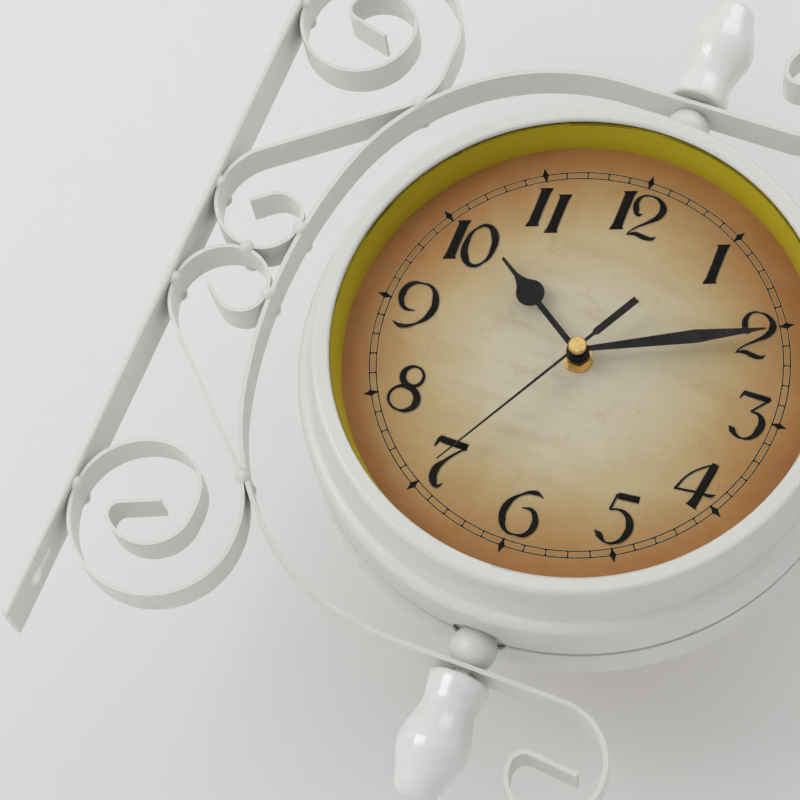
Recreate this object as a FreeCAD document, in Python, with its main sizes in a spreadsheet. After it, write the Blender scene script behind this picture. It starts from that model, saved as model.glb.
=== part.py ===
import FreeCAD, Part
import Sketcher
import os
import re
from math import atan2, cos, degrees, radians, sin, sqrt
from FreeCAD import Placement, Rotation, Vector

# Double sided station clock on a scrolled wall bracket. All sizes are in millimetres.
# The origin is on the wall face of the plate, at its middle: +X leaves the wall, +Z is up,
# and the front dial faces -Y. The common axis of the two dials is parallel to Y.

doc = FreeCAD.newDocument("station_clock")

# ---------------------------------------------------------------- driving dimensions

DIMENSIONS = {
    # wall plate
    "plate_height": 375.0,
    "plate_width": 25.0,
    "plate_thick": 3.0,
    "plate_edge_round": 1.2,
    "keyhole_spacing": 325.0,
    "keyhole_seat_rise": 8.6,
    "keyhole_travel": 11.6,
    "keyhole_head_radius": 4.2,
    "keyhole_shank_radius": 2.2,
    # flat strap of the ring and the scrolls
    "strap_width": 18.0,
    "ring_thick": 2.0,
    "scroll_thick": 1.6,
    # ring around the case, measured from the pivot axis and from the middle of the ring
    "axis_reach": 184.0,
    "ring_drop": 5.5,
    "ring_half_height": 135.0,
    "ring_side_reach": 138.3,
    "ring_corner_radius": 104.0,
    "ring_flat_before": 30.0,
    "ring_flat_after": 43.0,
    "ring_curl_radius": 25.5,
    "ring_curl_inner_radius": 21.0,
    "ring_curl_last_radius": 16.0,
    "ring_curl_bend_radius": 6.5,
    "ring_curl_bend_turn": 95.0,
    "ring_curl_tail": 20.0,
    # scrolls between the plate and the ring
    "scroll_gap": 0.2,
    "small_volute_radius": 17.0,
    "small_hook_radius": 11.3,
    "small_hook_turn": 128.0,
    "small_hook_tail": 9.0,
    "scroll_shoulder_radius": 27.0,
    "upper_scroll_heading": 38.0,
    "upper_heel_radius": 25.0,
    "upper_volute_height": 120.4,
    "upper_volute_rise_radius": 26.0,
    "upper_volute_fall_radius": 26.0,
    "upper_volute_fall": 0.0,
    "upper_volute_core_radius": 17.0,
    "upper_volute_core_turn": 150.0,
    "upper_volute_bend_turn": 105.0,
    "lower_scroll_heading": 44.0,
    "lower_heel_radius": 45.0,
    "lower_volute_height": 124.6,
    "lower_volute_rise_radius": 30.0,
    "lower_volute_fall_radius": 21.0,
    "lower_volute_fall": 5.0,
    "lower_volute_core_radius": 19.0,
    "lower_volute_core_turn": 133.0,
    "lower_volute_bend_turn": 114.0,
    "big_volute_bend_radius": 5.5,
    "big_volute_tail": 17.0,
    "weld_bead_radius": 3.4,
    "weld_bead_sink": 1.2,
    # pivots
    "stud_radius": 3.0,
    "stud_bore_clearance": 0.05,
    "stud_hole_clearance": 0.3,
    "stud_finial_depth": 16.0,
    "ball_radius": 9.8,
    "ball_flat_depth": 1.0,
    "ball_seat_clearance": 0.7,
    "nut_radius": 5.8,
    "outer_nut_thick": 2.5,
    "inner_nut_thick": 5.0,
    "washer_radius": 8.0,
    "washer_thick": 1.2,
    "stud_beyond_nut": 2.0,
    "finial_gap": 2.8,
    "finial_length": 53.0,
    "finial_base_radius": 12.8,
    "finial_base_round": 1.6,
    "finial_waist_radius": 11.4,
    "finial_waist_height": 12.0,
    "finial_belly_radius": 15.0,
    "finial_belly_height": 30.0,
    "finial_shoulder_radius": 10.6,
    "finial_shoulder_height": 44.5,
    # drum between the doors, and how far it hangs below the middle of the ring
    "case_drop": 4.0,
    "drum_radius": 113.9,
    "drum_sheet": 1.2,
    "drum_width": 38.0,
    "bridge_thick": 2.0,
    "bridge_width": 16.0,
    "bridge_radius": 110.9,
    "moving_gap": 0.3,
    # bezel: radii from the axis of the dials, heights above the middle plane of the case
    "bezel_sheet": 1.2,
    "opening_radius": 100.0,
    "bezel_front_height": 50.6,
    "bezel_lip_depth": 0.4,
    "bezel_lip_round": 1.0,
    "bezel_front_width": 3.6,
    "bezel_front_round": 1.8,
    "bezel_cove_radius": 60.0,
    "bezel_cove_turn": 20.0,
    "bezel_step_round": 1.2,
    "bezel_bead_round": 3.7,
    "bezel_foot_height": 1.6,
    "ball_notch_radius": 11.5,
    # glass, liner and dial
    "glass_radius": 104.4,
    "glass_thick": 2.0,
    "gasket_inner_radius": 101.8,
    "gasket_outer_radius": 105.2,
    "gasket_thick": 1.2,
    "liner_front_radius": 99.6,
    "liner_dial_radius": 97.0,
    "liner_thick": 1.2,
    "dial_radius": 107.5,
    "dial_thick": 1.0,
    "dial_height": 30.7,
    "backing_radius": 108.4,
    "backing_thick": 1.5,
    "retainer_radius": 108.5,
    "retainer_wire_radius": 1.2,
    "retainer_span": 350.0,
    # door hinge and door screw
    "hinge_knuckle_radius": 2.6,
    "hinge_axis_radius": 119.2,
    "hinge_half_length": 9.0,
    "hinge_middle_half": 2.9,
    "hinge_leaf_thick": 1.2,
    "hinge_leaf_reach": 13.0,
    "hinge_tongue_thick": 1.6,
    "hinge_pin_radius": 1.0,
    "hinge_pin_head_radius": 1.6,
    "hinge_pin_head_thick": 0.6,
    "hinge_bore_clearance": 0.05,
    "door_screw_angle": 25.0,
    "door_screw_height": 11.0,
    "door_screw_radius": 1.5,
    "door_screw_head_radius": 3.6,
    "door_screw_head_thick": 4.0,
    "door_screw_collar_radius": 2.4,
    "door_screw_collar_thick": 1.0,
    # movement
    "movement_side": 56.0,
    "movement_thick": 16.0,
    "movement_corner": 3.0,
    "rubber_thick": 0.8,
    "rubber_radius": 9.0,
    "battery_radius": 7.1,
    "battery_length": 49.0,
    "battery_nub_radius": 2.7,
    "battery_nub_length": 1.5,
    "battery_drop": 17.5,
    "battery_play": 0.4,
    "bush_radius": 3.95,
    "bush_bore_radius": 2.65,
    "bush_front": 36.0,
    "bush_seat_depth": 5.0,
    "dial_hole_radius": 4.1,
    "dial_washer_radius": 6.2,
    "dial_washer_thick": 1.6,
    "dial_nut_radius": 5.5,
    "dial_nut_thick": 3.0,
    "arbor_pocket_radius": 3.2,
    "arbor_pocket_depth": 10.0,
    "knob_radius": 5.0,
    "knob_thick": 3.0,
    "knob_stem_radius": 1.5,
    "knob_stem_length": 4.0,
    "knob_rise": 12.0,
    # hands: heights above the middle plane of the case, reaches from the arbor
    "tube_clearance": 0.1,
    "tube_back": 19.0,
    "hour_tube_radius": 2.55,
    "hour_tube_front": 38.3,
    "minute_tube_radius": 1.65,
    "minute_tube_front": 41.6,
    "second_arbor_radius": 0.75,
    "hand_thick": 0.5,
    "hour_hand_height": 37.2,
    "hour_hub_radius": 4.7,
    "hour_shaft_half": 1.25,
    "hour_disc_reach": 33.4,
    "hour_disc_radius": 5.9,
    "hour_shoulder_angle": 52.0,
    "hour_neck_reach": 44.0,
    "hour_hollow_half": 1.85,
    "hour_neck_half": 0.9,
    "hour_tip_reach": 53.2,
    "hour_tip_half": 0.65,
    "minute_hand_height": 40.4,
    "minute_hub_radius": 4.4,
    "minute_root_half": 1.1,
    "minute_wide_reach": 47.7,
    "minute_wide_half": 2.9,
    "minute_tip_reach": 76.0,
    "minute_tip_half": 0.35,
    "second_hand_height": 43.4,
    "second_hub_radius": 2.5,
    "second_root_half": 0.55,
    "second_tip_reach": 73.4,
    "second_tip_half": 0.25,
    "second_neck_half": 0.65,
    "paddle_start": 8.5,
    "paddle_end": 31.6,
    "paddle_half": 1.5,
    "cap_radius": 3.75,
    "cap_thick": 2.0,
    "cap_edge_round": 0.5,
    "hour_hand_angle": 303.6,
    "minute_hand_angle": 63.0,
    "second_hand_angle": 208.6,
}

sheet = doc.addObject("Spreadsheet::Sheet", "dims")
for row, (alias, value) in enumerate(DIMENSIONS.items(), start=1):
    sheet.set(f"A{row}", alias.replace("_", " "))
    sheet.set(f"B{row}", str(value))
    sheet.setAlias(f"B{row}", alias)
doc.recompute()

sub_parts = []


def formula(text):
    """An expression for the sheet, written with the bare names of the dimensions."""
    return re.sub(r"\b([a-z]+(?:_[a-z]+)+)\b", r"dims.\1", text)


def measure(text):
    """The present value of such a formula."""
    return float(sheet.evalExpression(formula(text)))


# ---------------------------------------------------------------- outlines


class StrapPath:
    """A path of tangent lines and arcs, and the outline of a strap laid along it."""

    def __init__(self, x, y, heading):
        self.x = x
        self.y = y
        self.heading = heading
        self.runs = []

    def line(self, length):
        along = Vector(cos(radians(self.heading)), sin(radians(self.heading)), 0)
        start = Vector(self.x, self.y, 0)
        end = start + along * length
        self.runs.append(("line", start, end, Vector(-along.y, along.x, 0)))
        self.x = end.x
        self.y = end.y
        return self

    def arc(self, radius, turn):
        """Turns left by a positive angle and right by a negative one."""
        side = 1 if turn > 0 else -1
        left = Vector(-sin(radians(self.heading)), cos(radians(self.heading)), 0)
        centre = Vector(self.x, self.y, 0) + left * (side * radius)
        first = self.heading - side * 90
        last = first + turn
        self.runs.append(("arc", centre, radius, first, last, side))
        self.x = centre.x + radius * cos(radians(last))
        self.y = centre.y + radius * sin(radians(last))
        self.heading += turn
        return self

    def edge(self, run, offset):
        """The curve beside one stretch, offset to its left."""
        if run[0] == "line":
            shift = run[3] * offset
            return Part.LineSegment(run[1] + shift, run[2] + shift)
        centre, radius, first, last, side = run[1:]
        whole = Part.Circle(centre, Vector(0, 0, 1), radius - side * offset)
        return Part.ArcOfCircle(whole, radians(min(first, last)), radians(max(first, last)))

    def corner(self, run, offset, at_start):
        """The end of that curve."""
        if run[0] == "line":
            return (run[1] if at_start else run[2]) + run[3] * offset
        centre, radius, first, last, side = run[1:]
        angle = radians(first if at_start else last)
        return centre + Vector(cos(angle), sin(angle), 0) * (radius - side * offset)

    def outline(self, thickness):
        half = thickness / 2
        curves = [self.edge(run, offset) for offset in (half, -half) for run in self.runs]
        for run, at_start in ((self.runs[0], True), (self.runs[-1], False)):
            left = self.corner(run, half, at_start)
            right = self.corner(run, -half, at_start)
            curves.append(Part.LineSegment(left, right))
        return curves


def closed(points):
    """Closed run of straight edges through the points."""
    corners = [Vector(x, y, 0) for x, y in points]
    return [Part.LineSegment(a, b) for a, b in zip(corners, corners[1:] + corners[:1])]


def arc_through(first, middle, last):
    points = [Vector(x, y, 0) for x, y in (first, middle, last)]
    return Part.ArcOfCircle(*points)


def mirrored_outline(right_side):
    """Edges given on the right of the Y axis, and the same edges on its left."""
    curves = []
    for points in right_side:
        for side in (1, -1):
            ends = [(side * x, y) for x, y in points]
            if len(ends) == 3:
                curves.append(arc_through(*ends))
            else:
                curves.append(Part.LineSegment(Vector(*ends[0], 0), Vector(*ends[1], 0)))
    return curves


# ---------------------------------------------------------------- feature helpers


def new_body(label):
    body = doc.addObject("PartDesign::Body", label)
    body.Label = label
    return body


def origin_feature(body, role):
    return next(feature for feature in body.Origin.OriginFeatures if feature.Role == role)


def new_sketch(body, role, curves):
    """A sketch on one of the body's own origin planes."""
    sketch = body.newObject("Sketcher::SketchObject", f"{body.Name}_outline")
    sketch.AttachmentSupport = [(origin_feature(body, role), "")]
    sketch.MapMode = "FlatFace"
    sketch.addGeometry(curves, False)
    return sketch


def pin(sketch, geometry, vertex, x, y):
    """Holds a point at the place that two formulas give."""
    for kind, text in (("DistanceX", x), ("DistanceY", y)):
        place = sketch.addConstraint(Sketcher.Constraint(kind, -1, 1, geometry, vertex, measure(text)))
        sketch.setExpression(f"Constraints[{place}]", formula(text))


def profile(body, role, points):
    """A closed outline of straight edges, each corner held by formulas."""
    corners = [(measure(x), measure(y)) for x, y in points]
    sketch = new_sketch(body, role, closed(corners))
    for place, (x, y) in enumerate(points):
        before = place - 1 if place else len(points) - 1
        sketch.addConstraint(Sketcher.Constraint("Coincident", before, 2, place, 1))
        pin(sketch, place, 1, x, y)
    return sketch


def block(body, role, x0, y0, x1, y1):
    return profile(body, role, [(x0, y0), (x1, y0), (x1, y1), (x0, y1)])


def disc(body, role, radius, x="0", y="0"):
    """A circle whose centre and radius are held by formulas."""
    centre = Vector(measure(x), measure(y), 0)
    sketch = new_sketch(body, role, [Part.Circle(centre, Vector(0, 0, 1), measure(radius))])
    pin(sketch, 0, 3, x, y)
    place = sketch.addConstraint(Sketcher.Constraint("Radius", 0, measure(radius)))
    sketch.setExpression(f"Constraints[{place}]", formula(radius))
    return sketch


def lift(sketch, text):
    """Moves a sketch along its own normal."""
    sketch.setExpression("AttachmentOffset.Base.z", formula(text))
    return sketch


def extrude(body, sketch, length, kind="Pad", symmetric=False, backwards=False):
    feature = body.newObject(f"PartDesign::{kind}", f"{body.Name}_{kind.lower()}")
    feature.Profile = sketch
    feature.setExpression("Length", formula(length))
    feature.SideType = "Symmetric" if symmetric else "One side"
    feature.Reversed = backwards
    doc.recompute()
    return feature


def cut_through(body, sketch):
    """Cuts the whole body along the sketch's normal, both ways."""
    feature = body.newObject("PartDesign::Pocket", f"{body.Name}_cut")
    feature.Profile = sketch
    feature.Type = "ThroughAll"
    feature.SideType = "Symmetric"
    doc.recompute()
    return feature


def revolve(body, sketch):
    feature = body.newObject("PartDesign::Revolution", f"{body.Name}_revolution")
    feature.Profile = sketch
    feature.ReferenceAxis = (sketch, ["V_Axis"])
    doc.recompute()
    return feature


def round_edges(body, chosen, radius):
    """Rounds the edges that a test picks out."""
    base = body.Tip
    names = [f"Edge{number}" for number, edge in enumerate(base.Shape.Edges, start=1) if chosen(edge)]
    feature = body.newObject("PartDesign::Fillet", f"{body.Name}_round")
    feature.Base = (base, names)
    feature.setExpression("Radius", formula(radius))
    doc.recompute()
    return feature


def turned(label, points):
    """A turned piece: its half section, as radius and height, revolved about the body's Z axis."""
    body = new_body(label)
    revolve(body, profile(body, "XZ_Plane", points))
    return body


def sleeve(label, inner, outer, back, front):
    return turned(label, [(inner, back), (outer, back), (outer, front), (inner, front)])


def cylinder(name, radius, length, place=None):
    tool = doc.addObject("Part::Cylinder", name)
    tool.setExpression("Radius", formula(radius))
    tool.setExpression("Height", formula(length))
    if place:
        tool.Placement = place
    return tool


def fuse(label, shapes):
    result = doc.addObject("Part::MultiFuse", label)
    result.Shapes = shapes
    result.Label = label
    return result


def cut(label, base, tools):
    result = doc.addObject("Part::Cut", label)
    result.Base = base
    result.Tool = tools[0] if len(tools) == 1 else fuse(f"{label}_tools", tools)
    result.Label = label
    return result


# ---------------------------------------------------------------- placing

SIDES = {"front": 1, "rear": -1}
CASE_CENTRE_Z = "-(ring_drop + case_drop)"


def keep(sub_part, x=None, y=None, z=None, rotation=None):
    """Puts a sub-part in its place, each offset held by a formula, and lists it for export."""
    places = {"x": x, "y": y, "z": z}
    base = Vector(*(measure(text) if text else 0 for text in places.values()))
    sub_part.Placement = Placement(base, rotation or Rotation())
    for direction, text in places.items():
        if text:
            sub_part.setExpression(f"Placement.Base.{direction}", formula(text))
    sub_parts.append(sub_part)
    return sub_part


def keep_on_side(sub_part, side, height=None, turn=0.0):
    """Places a sub-part on one face of the clock.

    Its own Z then points out of that face, its Y up, and it is turned clockwise by a clock angle.
    """
    upright = Rotation(Vector(1, 0, 0), 90)
    if side == "rear":
        upright = Rotation(Vector(0, 0, 1), 180) * upright
    rotation = upright * Rotation(Vector(0, 0, 1), -turn)
    out = f"{-SIDES[side]} * ({height})" if height else None
    return keep(sub_part, "axis_reach", out, CASE_CENTRE_Z, rotation)


# ---------------------------------------------------------------- bracket


def keyhole(seat_y):
    """Outline of one keyhole: the screw's head enters below and its shank slides up to the seat."""
    shank = measure("keyhole_shank_radius")
    head = measure("keyhole_head_radius")
    entry_y = seat_y - measure("keyhole_travel")
    join_y = entry_y + sqrt(head**2 - shank**2)
    right_side = [
        ((shank, join_y), (shank, seat_y)),
    ]
    return mirrored_outline(right_side) + [
        arc_through((shank, seat_y), (0, seat_y + shank), (-shank, seat_y)),
        arc_through((-shank, join_y), (0, entry_y - head), (shank, join_y)),
    ]


def make_wall_plate():
    body = new_body("wall_plate")
    low = ("-plate_width / 2", "-plate_height / 2")
    high = ("plate_width / 2", "plate_height / 2")
    face = block(body, "YZ_Plane", *low, *high)
    extrude(body, face, "plate_thick")
    for side in (1, -1):
        seat = side * measure("keyhole_spacing / 2") + measure("keyhole_seat_rise")
        slot = new_sketch(body, "YZ_Plane", keyhole(seat))
        cut_through(body, slot)
    height = measure("plate_height")
    round_edges(body, lambda edge: abs(edge.Length - height) < 1e-6, "plate_edge_round")
    keep(body)


def ring_side_radius():
    """Radius of the ring's side, which meets both corner arcs without a kink."""
    reach = measure("ring_side_reach - ring_flat_before")
    rise = measure("ring_half_height - ring_corner_radius")
    corner = measure("ring_corner_radius")
    return (reach**2 + rise**2 - corner**2) / (2 * (reach - corner))


def ring_half_path():
    """Centre line of the strap's upper half, from the side next to the plate to the outer curl."""
    side_radius = ring_side_radius()
    rise = measure("ring_half_height - ring_corner_radius")
    run = side_radius - measure("ring_side_reach - ring_flat_before")
    side_turn = degrees(atan2(rise, run))
    path = StrapPath(-measure("ring_side_reach"), 0, 90)
    path.arc(side_radius, -side_turn)
    path.arc(measure("ring_corner_radius"), side_turn - 90)
    path.line(measure("ring_flat_before + ring_flat_after"))
    path.arc(measure("ring_curl_radius"), 90)
    path.arc(measure("ring_curl_inner_radius"), 90)
    path.arc(measure("ring_curl_last_radius"), 90)
    path.arc(measure("ring_curl_bend_radius"), measure("ring_curl_bend_turn"))
    path.line(measure("ring_curl_tail"))
    return path


def make_ring_strap():
    body = new_body("ring_strap")
    outline = new_sketch(body, "XZ_Plane", ring_half_path().outline(measure("ring_thick")))
    upper_half = extrude(body, outline, "strap_width", symmetric=True)
    both_halves = body.newObject("PartDesign::Mirrored", "ring_strap_mirrored")
    both_halves.Originals = [upper_half]
    both_halves.MirrorPlane = (origin_feature(body, "XY_Plane"), [""])
    body.Tip = both_halves
    cut_through(body, disc(body, "XY_Plane", "stud_radius + stud_hole_clearance"))
    keep(body, "axis_reach", None, "-ring_drop")


def scroll_plan(side):
    """Sizes that follow from a scroll touching the plate, the ring and the other scroll.

    side is 1 for the upper scroll and -1 for the lower one, which is laid out upside down.
    """
    gap = measure("scroll_gap")
    half = measure("scroll_thick / 2")
    plate_line = measure("plate_thick") + gap + half
    volute = measure("small_volute_radius")
    volute_height = volute + half + gap / 2
    ring_middle = -side * measure("ring_drop")
    ring_skin = measure("ring_thick / 2") + gap + half
    side_radius = ring_side_radius()
    side_centre = measure("axis_reach - ring_side_reach") + side_radius
    reach = sqrt((side_radius + ring_skin + volute) ** 2 - (volute_height - ring_middle) ** 2)
    return {
        "plate_line": plate_line,
        "volute": volute,
        "volute_x": side_centre - reach,
        "volute_height": volute_height,
        "ring_middle": ring_middle,
        "ring_skin": ring_skin,
        "side_centre": side_centre,
        "name": "upper" if side > 0 else "lower",
    }


def diagonal_length(path, plan, heel):
    """Length of the straight run that brings the heel's arc up against the ring's corner."""
    heading = radians(path.heading)
    along = Vector(cos(heading), sin(heading), 0)
    left = Vector(-along.y, along.x, 0)
    corner_rise = measure("ring_half_height - ring_corner_radius")
    corner = Vector(measure("axis_reach - ring_flat_before"), plan["ring_middle"] + corner_rise, 0)
    to_corner = corner - (Vector(path.x, path.y, 0) + left * heel)
    ahead = to_corner.dot(along)
    aside = to_corner.cross(along).Length
    touching = heel + plan["ring_skin"] + measure("ring_corner_radius")
    return ahead - sqrt(touching**2 - aside**2)


def scroll_path(side):
    """Centre line of one scroll, from the tip of its small volute to the tip of its big one."""
    plan = scroll_plan(side)
    name = plan["name"]
    heading = measure(f"{name}_scroll_heading")
    heel = measure(f"{name}_heel_radius")
    fall = measure(f"{name}_volute_fall")
    volute = plan["volute"]
    hook = measure("small_hook_radius")
    hook_turn = measure("small_hook_turn")
    lead = StrapPath(0, 0, -90 + hook_turn)
    lead.line(measure("small_hook_tail"))
    lead.arc(hook, -hook_turn)
    path = StrapPath(plan["volute_x"] + volute - lead.x, plan["volute_height"] - lead.y, -90 + hook_turn)
    path.line(measure("small_hook_tail"))
    path.arc(hook, -hook_turn)
    path.arc(volute, -90)
    path.arc(path.x - plan["plate_line"], -90)
    path.arc(measure("scroll_shoulder_radius"), heading - 90)
    path.line(diagonal_length(path, plan, heel))
    path.arc(heel, 90 - heading)
    path.line(measure(f"{name}_volute_height") - path.y)
    path.arc((path.x - plan["plate_line"]) / 2, 180)
    path.arc(measure(f"{name}_volute_rise_radius"), 90)
    path.arc(measure(f"{name}_volute_fall_radius"), 90)
    if fall:
        path.line(fall)
    path.arc(measure(f"{name}_volute_core_radius"), measure(f"{name}_volute_core_turn"))
    path.arc(measure("big_volute_bend_radius"), measure(f"{name}_volute_bend_turn"))
    path.line(measure("big_volute_tail"))
    return path


def make_scroll(label, side):
    body = new_body(label)
    outline = new_sketch(body, "XZ_Plane", scroll_path(side).outline(measure("scroll_thick")))
    extrude(body, outline, "strap_width", symmetric=True)
    keep(body, rotation=Rotation(Vector(1, 0, 0), 0 if side > 0 else 180))


def weld_places(side):
    """Where one scroll meets the plate and the ring, as X and Z."""
    plan = scroll_plan(side)
    path = scroll_path(side)
    half_gap = measure("scroll_gap / 2")
    plate_face = measure("plate_thick") + half_gap
    small_volute = Vector(plan["volute_x"], plan["volute_height"], 0)
    side_centre = Vector(plan["side_centre"], plan["ring_middle"], 0)
    to_volute = (small_volute - side_centre).normalize()
    on_side = side_centre + to_volute * (ring_side_radius() + measure("ring_thick / 2") + half_gap)
    heel_centre = path.runs[6][1]
    corner_rise = measure("ring_half_height - ring_corner_radius")
    corner = Vector(measure("axis_reach - ring_flat_before"), plan["ring_middle"] + corner_rise, 0)
    to_heel = (heel_centre - corner).normalize()
    on_corner = corner + to_heel * (measure("ring_corner_radius + ring_thick / 2") + half_gap)
    places = [
        (plate_face, path.runs[4][1].y),
        (plate_face, measure(f"{plan['name']}_volute_height")),
        (on_side.x, on_side.y),
        (on_corner.x, on_corner.y),
    ]
    return [(x, side * z) for x, z in places]


def make_weld_beads():
    """Domes of weld on both edges of the strap wherever two straps or a strap and the plate meet."""
    between_volutes = (scroll_plan(1)["volute_x"] + scroll_plan(-1)["volute_x"]) / 2
    places = weld_places(1) + weld_places(-1) + [(between_volutes, 0)]
    radius = measure("weld_bead_radius")
    edge_y = measure("strap_width / 2")
    centre_y = edge_y - measure("weld_bead_sink")
    beads = []
    for x, z in places:
        ball = Part.makeSphere(radius, Vector(x, centre_y, z))
        start = max(x - radius, measure("plate_thick"))
        room = Part.makeBox(2 * radius, radius, 2 * radius, Vector(start, edge_y, z - radius))
        dome = ball.common(room)
        beads += [dome, dome.mirror(Vector(0, 0, 0), Vector(0, 1, 0))]
    welds = doc.addObject("Part::Feature", "weld_beads")
    welds.Shape = Part.makeCompound(beads)
    keep(welds)


# ---------------------------------------------------------------- pivots

BALL_CENTRE = "ring_half_height - ring_thick / 2 - ball_radius + ball_flat_depth"
FINIAL_BASE = "ring_half_height + ring_thick / 2 + finial_gap"
STUD_BORE = "stud_radius + stud_bore_clearance"
BRIDGE_INNER = "bridge_radius - bridge_thick"
INNER_WASHER_FRONT = f"{BRIDGE_INNER} - moving_gap"
INNER_NUT_FRONT = f"{INNER_WASHER_FRONT} - washer_thick"
STUD_END = f"{INNER_NUT_FRONT} - inner_nut_thick - stud_beyond_nut"

# 1 for the upper pivot and -1 for the lower one, which is turned upside down
PIVOTS = {"upper": 1, "lower": -1}


def keep_on_pivot(sub_part, side):
    """Places a piece modelled pointing up from the middle of the ring on the pivot axis."""
    return keep(sub_part, "axis_reach", None, "-ring_drop", Rotation(Vector(1, 0, 0), 0 if side > 0 else 180))


def from_ring_middle(text, side):
    """Turns a distance from the middle of the case into one from the middle of the ring."""
    return f"({text}) {'-' if side > 0 else '+'} case_drop"


def make_ball(label, side):
    sphere = doc.addObject("Part::Sphere", f"{label}_sphere")
    sphere.setExpression("Radius", formula("ball_radius"))
    sphere.setExpression("Placement.Base.z", formula(BALL_CENTRE))
    bore = cylinder(f"{label}_bore", STUD_BORE, "ring_half_height")
    strap = cylinder(f"{label}_flat", "ball_radius", "ball_radius")
    strap.setExpression("Placement.Base.z", formula("ring_half_height - ring_thick / 2"))
    keep_on_pivot(cut(label, sphere, [bore, strap]), side)


def make_stud(label, side):
    inner_end = from_ring_middle(STUD_END, side)
    outer_end = f"{FINIAL_BASE} + stud_finial_depth"
    half_section = [
        ("0", inner_end),
        ("stud_radius", inner_end),
        ("stud_radius", outer_end),
        ("0", outer_end),
    ]
    keep_on_pivot(turned(label, half_section), side)


def make_finial(label, side):
    """Turned finial: rounded base, waist, belly and blunt tip, bored for the stud."""
    body = new_body(label)
    rim = measure("finial_base_radius")
    rounding = measure("finial_base_round")
    outline = Part.BSplineCurve()
    points = [
        Vector(rim, rounding, 0),
        Vector(measure("finial_waist_radius"), measure("finial_waist_height"), 0),
        Vector(measure("finial_belly_radius"), measure("finial_belly_height"), 0),
        Vector(measure("finial_shoulder_radius"), measure("finial_shoulder_height"), 0),
        Vector(0, measure("finial_length"), 0),
    ]
    outline.interpolate(Points=points, InitialTangent=Vector(0, 1, 0), FinalTangent=Vector(-1, 0, 0))
    slant = rounding * (1 - sqrt(0.5))
    curves = [
        outline,
        arc_through((rim, rounding), (rim - slant, slant), (rim - rounding, 0)),
        Part.LineSegment(Vector(rim - rounding, 0, 0), Vector(0, 0, 0)),
        Part.LineSegment(Vector(0, 0, 0), Vector(0, points[-1].y, 0)),
    ]
    revolve(body, new_sketch(body, "XZ_Plane", curves))
    extrude(body, disc(body, "XY_Plane", STUD_BORE), "stud_finial_depth", kind="Pocket", backwards=True)
    keep(
        body,
        "axis_reach",
        None,
        f"{side} * ({FINIAL_BASE}) - ring_drop",
        Rotation(Vector(1, 0, 0), 0 if side > 0 else 180),
    )


def hexagon_ring(name, radius, bore, back, thick):
    """A hexagon nut on the Z axis."""
    prism = doc.addObject("Part::Prism", f"{name}_prism")
    prism.Polygon = 6
    prism.setExpression("Circumradius", formula(radius))
    prism.setExpression("Height", formula(thick))
    prism.setExpression("Placement.Base.z", formula(back))
    hole = cylinder(f"{name}_hole", bore, thick)
    hole.setExpression("Placement.Base.z", formula(back))
    return cut(name, prism, [hole])


def washer(name, radius, bore, back, thick):
    plate = cylinder(f"{name}_plate", radius, thick)
    plate.setExpression("Placement.Base.z", formula(back))
    hole = cylinder(f"{name}_hole", bore, thick)
    hole.setExpression("Placement.Base.z", formula(back))
    return cut(name, plate, [hole])


def make_stud_nuts():
    """Nuts outside the ring, washers and nuts under the bridges, and the nut above the drum."""
    groups = []
    for name, side in PIVOTS.items():
        outer_back = "ring_half_height + ring_thick / 2"
        outer = hexagon_ring(f"{name}_outer_nut", "nut_radius", STUD_BORE, outer_back, "outer_nut_thick")
        washer_back = from_ring_middle(INNER_NUT_FRONT, side)
        inner_washer = washer(f"{name}_washer", "washer_radius", STUD_BORE, washer_back, "washer_thick")
        inner_back = from_ring_middle(f"{INNER_NUT_FRONT} - inner_nut_thick", side)
        inner = hexagon_ring(f"{name}_inner_nut", "nut_radius", STUD_BORE, inner_back, "inner_nut_thick")
        pieces = [outer, inner_washer, inner]
        if side > 0:
            above_drum = from_ring_middle("drum_radius + moving_gap", side)
            room = f"{BALL_CENTRE} - ball_radius - ({above_drum})"
            pieces.append(hexagon_ring("upper_drum_nut", "nut_radius", STUD_BORE, above_drum, room))
        group = fuse(f"{name}_stud_nuts", pieces)
        group.Placement.Rotation = Rotation(Vector(1, 0, 0), 0 if side > 0 else 180)
        groups.append(group)
    keep(fuse("stud_nuts", groups), "axis_reach", None, "-ring_drop")


# ---------------------------------------------------------------- drum


def make_drum_band():
    """Band between the doors: a stud hole above, and below a seat that the ball nests in."""
    body = new_body("drum_sheet")
    low = ("drum_radius - drum_sheet", "-drum_width / 2")
    high = ("drum_radius", "drum_width / 2")
    section = block(body, "XZ_Plane", *low, *high)
    revolve(body, section)
    reach = measure("drum_radius + drum_sheet")
    inside = measure("drum_radius - ball_radius")
    stud_hole = cylinder(
        "drum_stud_hole",
        STUD_BORE,
        "ball_radius + drum_sheet",
        Placement(Vector(0, inside, 0), Rotation(Vector(1, 0, 0), -90)),
    )
    ball_depth = f"drum_radius - drum_sheet / 2 + case_drop - ({BALL_CENTRE})"
    ball_seat = cylinder(
        "drum_ball_seat",
        f"sqrt(ball_radius^2 - ({ball_depth})^2) + ball_seat_clearance",
        "ball_radius + drum_sheet",
        Placement(Vector(0, -reach, 0), Rotation(Vector(1, 0, 0), -90)),
    )
    keep_on_side(cut("drum_band", body, [stud_hole, ball_seat]), "front")


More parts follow.
